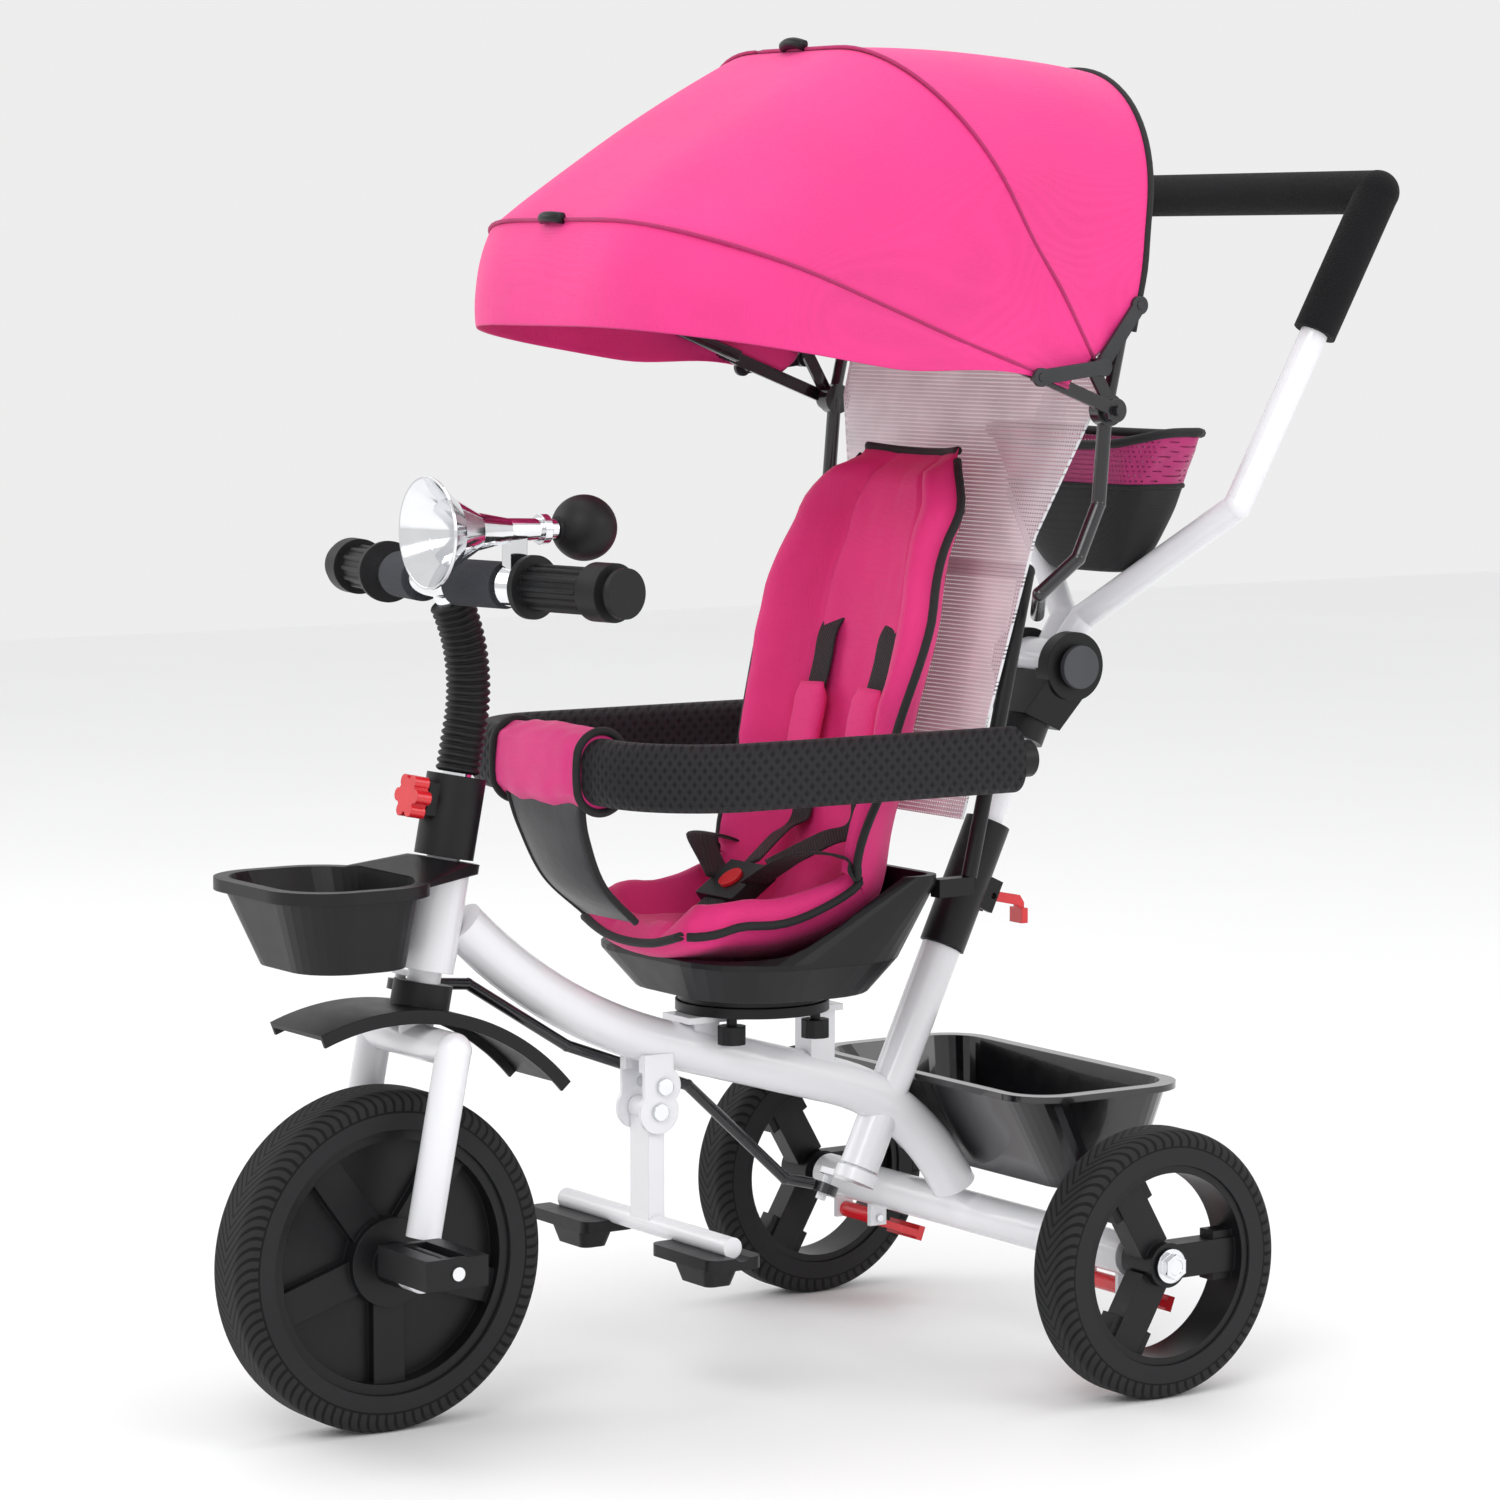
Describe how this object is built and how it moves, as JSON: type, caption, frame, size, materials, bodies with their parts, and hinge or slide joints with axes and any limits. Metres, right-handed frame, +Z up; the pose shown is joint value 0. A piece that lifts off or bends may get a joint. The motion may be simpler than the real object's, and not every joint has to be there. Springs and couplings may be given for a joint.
{
  "type": "children's tricycle",
  "caption": "Push-along children's tricycle with a turning padded seat, guard ring, folding canopy, steering push bar, front basket and rear bucket",
  "frame": {"origin": "middle of the footprint on the ground, below the centre of the bounding box", "axes": "+Z up, -Y the way the tricycle drives, +X the rider's left"},
  "size_m": [0.516, 0.9512, 1.0134],
  "materials": {
    "white_paint": "gloss",
    "chrome": "polished",
    "black_plastic": "satin",
    "gloss_black": "gloss",
    "red_plastic": "gloss",
    "tyre_rubber": "matte",
    "black_rubber": "matte",
    "grey_foam": "matte",
    "black_foam": "matte",
    "grey_plastic": "satin",
    "pink_fabric": "woven",
    "black_fabric": "woven",
    "mesh_fabric": "mesh",
    "black_steel": "gloss"
  },
  "bodies": {
    "frame": {"main_frame": "white_paint", "head_bearings": "chrome", "rear_axle": "chrome", "fasteners": "chrome", "rear_bucket": "gloss_black", "turntable_base": "black_plastic", "footrest_bracket": "white_paint"},
    "knob_front": {"seat_knob_front": "black_plastic"},
    "knob_rear": {"seat_knob_rear": "black_plastic"},
    "steering": {"fork": "white_paint", "fender": "black_plastic", "front_basket": "black_plastic", "stem_clamp": "black_plastic", "handlebar": "chrome", "stem_sleeve": "black_plastic", "bar_foam": "grey_foam", "grips": "black_rubber", "horn_bell": "chrome", "horn_bulb": "black_rubber"},
    "stem_screw": {"stem_knob": "red_plastic"},
    "front_wheel": {"front_tyre": "tyre_rubber", "front_rim": "black_plastic"},
    "crank": {"crankset": "chrome"},
    "left_pedal": {"pedal_left": "black_plastic"},
    "right_pedal": {"pedal_right": "black_plastic"},
    "left_wheel": {"rear_tyre_left": "tyre_rubber", "rear_rim_left": "black_plastic"},
    "right_wheel": {"rear_tyre_right": "tyre_rubber", "rear_rim_right": "black_plastic"},
    "left_brake": {"brake_left": "red_plastic"},
    "right_brake": {"brake_right": "red_plastic"},
    "push_bar": {"push_stem": "white_paint", "push_sleeve": "black_plastic"},
    "lever": {"height_lever": "red_plastic"},
    "mast": {"push_tube": "white_paint", "knuckle": "black_plastic"},
    "button": {"tilt_button": "grey_plastic"},
    "handle": {"push_handle": "white_paint", "handle_foam": "black_foam", "parent_bag": "black_fabric"},
    "link_rod": {"steering_rod": "black_steel"},
    "seat": {"turntable_top": "black_plastic", "seat_shell": "black_plastic", "seat_pad": "pink_fabric", "back_mesh": "mesh_fabric", "harness": "black_fabric", "shoulder_pads": "pink_fabric", "buckle": "black_plastic", "canopy_supports": "black_steel"},
    "buckle_release": {"buckle_button": "red_plastic"},
    "ring": {"guard_ring": "black_foam", "ring_cover": "pink_fabric"},
    "canopy_mid": {"bow_mid": "black_steel", "cover_rear": "pink_fabric"},
    "canopy_front": {"bow_front": "black_steel", "cover_front": "pink_fabric"},
    "rear_link": {"brace_rear": "black_plastic"},
    "front_link": {"brace_front": "black_plastic"},
    "footrest": {"footrest_arm": "white_paint", "foot_plates": "black_plastic"}
  },
  "joints": [
    {"name": "steering", "type": "hinge", "parent": "frame", "child": "steering", "pos_m": [0, -0.3018, 0.37141], "axis": [0, 0.1908, 0.9816], "range_deg": [-30, 30]},
    {"name": "stem_screw", "type": "hinge", "parent": "steering", "child": "stem_screw", "pos_m": [0, -0.2852, 0.45681], "axis": [0, -0.9816, 0.1908], "continuous": true},
    {"name": "front_wheel_spin", "type": "hinge", "parent": "steering", "child": "front_wheel", "pos_m": [0, -0.3495, 0.126], "axis": [1, 0, 0], "continuous": true},
    {"name": "crank_turn", "type": "hinge", "parent": "steering", "child": "crank", "pos_m": [0, -0.3495, 0.126], "axis": [1, 0, 0], "continuous": true},
    {"name": "pedal_left_spin", "type": "hinge", "parent": "crank", "child": "left_pedal", "pos_m": [0, -0.3735, 0.144], "axis": [1, 0, 0], "continuous": true},
    {"name": "pedal_right_spin", "type": "hinge", "parent": "crank", "child": "right_pedal", "pos_m": [0, -0.3255, 0.108], "axis": [1, 0, 0], "continuous": true},
    {"name": "rear_wheel_left_spin", "type": "hinge", "parent": "frame", "child": "left_wheel", "pos_m": [0, 0.1875, 0.102], "axis": [1, 0, 0], "continuous": true},
    {"name": "rear_wheel_right_spin", "type": "hinge", "parent": "frame", "child": "right_wheel", "pos_m": [0, 0.1875, 0.102], "axis": [1, 0, 0], "continuous": true},
    {"name": "brake_left_press", "type": "hinge", "parent": "frame", "child": "left_brake", "pos_m": [0.165, 0.1935, 0.074], "axis": [-1, 0, 0], "range_deg": [0, 20]},
    {"name": "brake_right_press", "type": "hinge", "parent": "frame", "child": "right_brake", "pos_m": [-0.165, 0.1935, 0.074], "axis": [-1, 0, 0], "range_deg": [0, 20]},
    {"name": "push_bar_turn", "type": "hinge", "parent": "frame", "child": "push_bar", "pos_m": [0, 0.11076, 0.22163], "axis": [0, 0.4226, 0.9063], "range_deg": [-30, 30]},
    {"name": "height_adjust", "type": "slide", "parent": "push_bar", "child": "mast", "axis": [0, 0.4226, 0.9063], "range_m": [-0.04, 0.08]},
    {"name": "lever_open", "type": "hinge", "parent": "push_bar", "child": "lever", "pos_m": [0, 0.19908, 0.35423], "axis": [1, 0, 0], "range_deg": [0, 45]},
    {"name": "tilt_button_press", "type": "slide", "parent": "mast", "child": "button", "axis": [-1, 0, 0], "range_m": [0, 0.003], "stiffness_N_per_m": 400, "springref_m": -0.001},
    {"name": "handle_tilt", "type": "hinge", "parent": "mast", "child": "handle", "pos_m": [0, 0.25657, 0.53431], "axis": [1, 0, 0], "range_deg": [-60, 8]},
    {"name": "rod_front_pivot", "type": "hinge", "parent": "steering", "child": "link_rod", "pos_m": [-0.034, -0.31172, 0.32036], "axis": [0, 0.1908, 0.9816], "range_deg": [-30, 30]},
    {"name": "seat_swivel", "type": "hinge", "parent": "frame", "child": "seat", "pos_m": [0, -0.0225, 0.291], "axis": [0, 0, 1], "range_deg": [-75, 105]},
    {"name": "buckle_press", "type": "slide", "parent": "seat", "child": "buckle_release", "axis": [0, 0.5736, -0.8192], "range_m": [0, 0.003], "stiffness_N_per_m": 400, "springref_m": -0.001},
    {"name": "guard_ring_pull", "type": "slide", "parent": "seat", "child": "ring", "axis": [0, -1, 0], "range_m": [0, 0.03]},
    {"name": "canopy_mid_fold", "type": "hinge", "parent": "seat", "child": "canopy_mid", "pos_m": [0, 0.1755, 0.74], "axis": [1, 0, 0], "range_deg": [-37, 0], "deforming": ["cover_rear"]},
    {"name": "canopy_front_fold", "type": "hinge", "parent": "canopy_mid", "child": "canopy_front", "pos_m": [0, 0.1755, 0.74], "axis": [1, 0, 0], "range_deg": [-32, 0], "deforming": ["cover_front"]},
    {"name": "brace_rear_turn", "type": "hinge", "parent": "seat", "child": "rear_link", "pos_m": [0, 0.1935, 0.81795], "axis": [1, 0, 0], "range_deg": [0, 24.1]},
    {"name": "brace_front_turn", "type": "hinge", "parent": "canopy_front", "child": "front_link", "pos_m": [0, 0.09977, 0.76578], "axis": [1, 0, 0], "range_deg": [-24.1, 0]},
    {"name": "footrest_fold", "type": "hinge", "parent": "frame", "child": "footrest", "pos_m": [0, -0.1175, 0.214], "axis": [1, 0, 0], "range_deg": [0, 55]},
    {"name": "seat_knob_front_turn", "type": "hinge", "parent": "frame", "child": "knob_front", "pos_m": [0.028, -0.0595, 0.28], "axis": [0, 0, 1], "continuous": true},
    {"name": "seat_knob_rear_turn", "type": "hinge", "parent": "frame", "child": "knob_rear", "pos_m": [0.034, 0.0125, 0.28], "axis": [0, 0, 1], "continuous": true}
  ],
  "couplings": [
    {"joint": "push_bar_turn", "follows": "steering", "ratio": 1},
    {"joint": "rod_front_pivot", "follows": "steering", "ratio": -1},
    {"joint": "canopy_front_fold", "follows": "canopy_mid_fold", "ratio": 0.8649},
    {"joint": "brace_rear_turn", "follows": "canopy_mid_fold", "ratio": -0.65},
    {"joint": "brace_front_turn", "follows": "canopy_mid_fold", "ratio": 0.65}
  ]
}
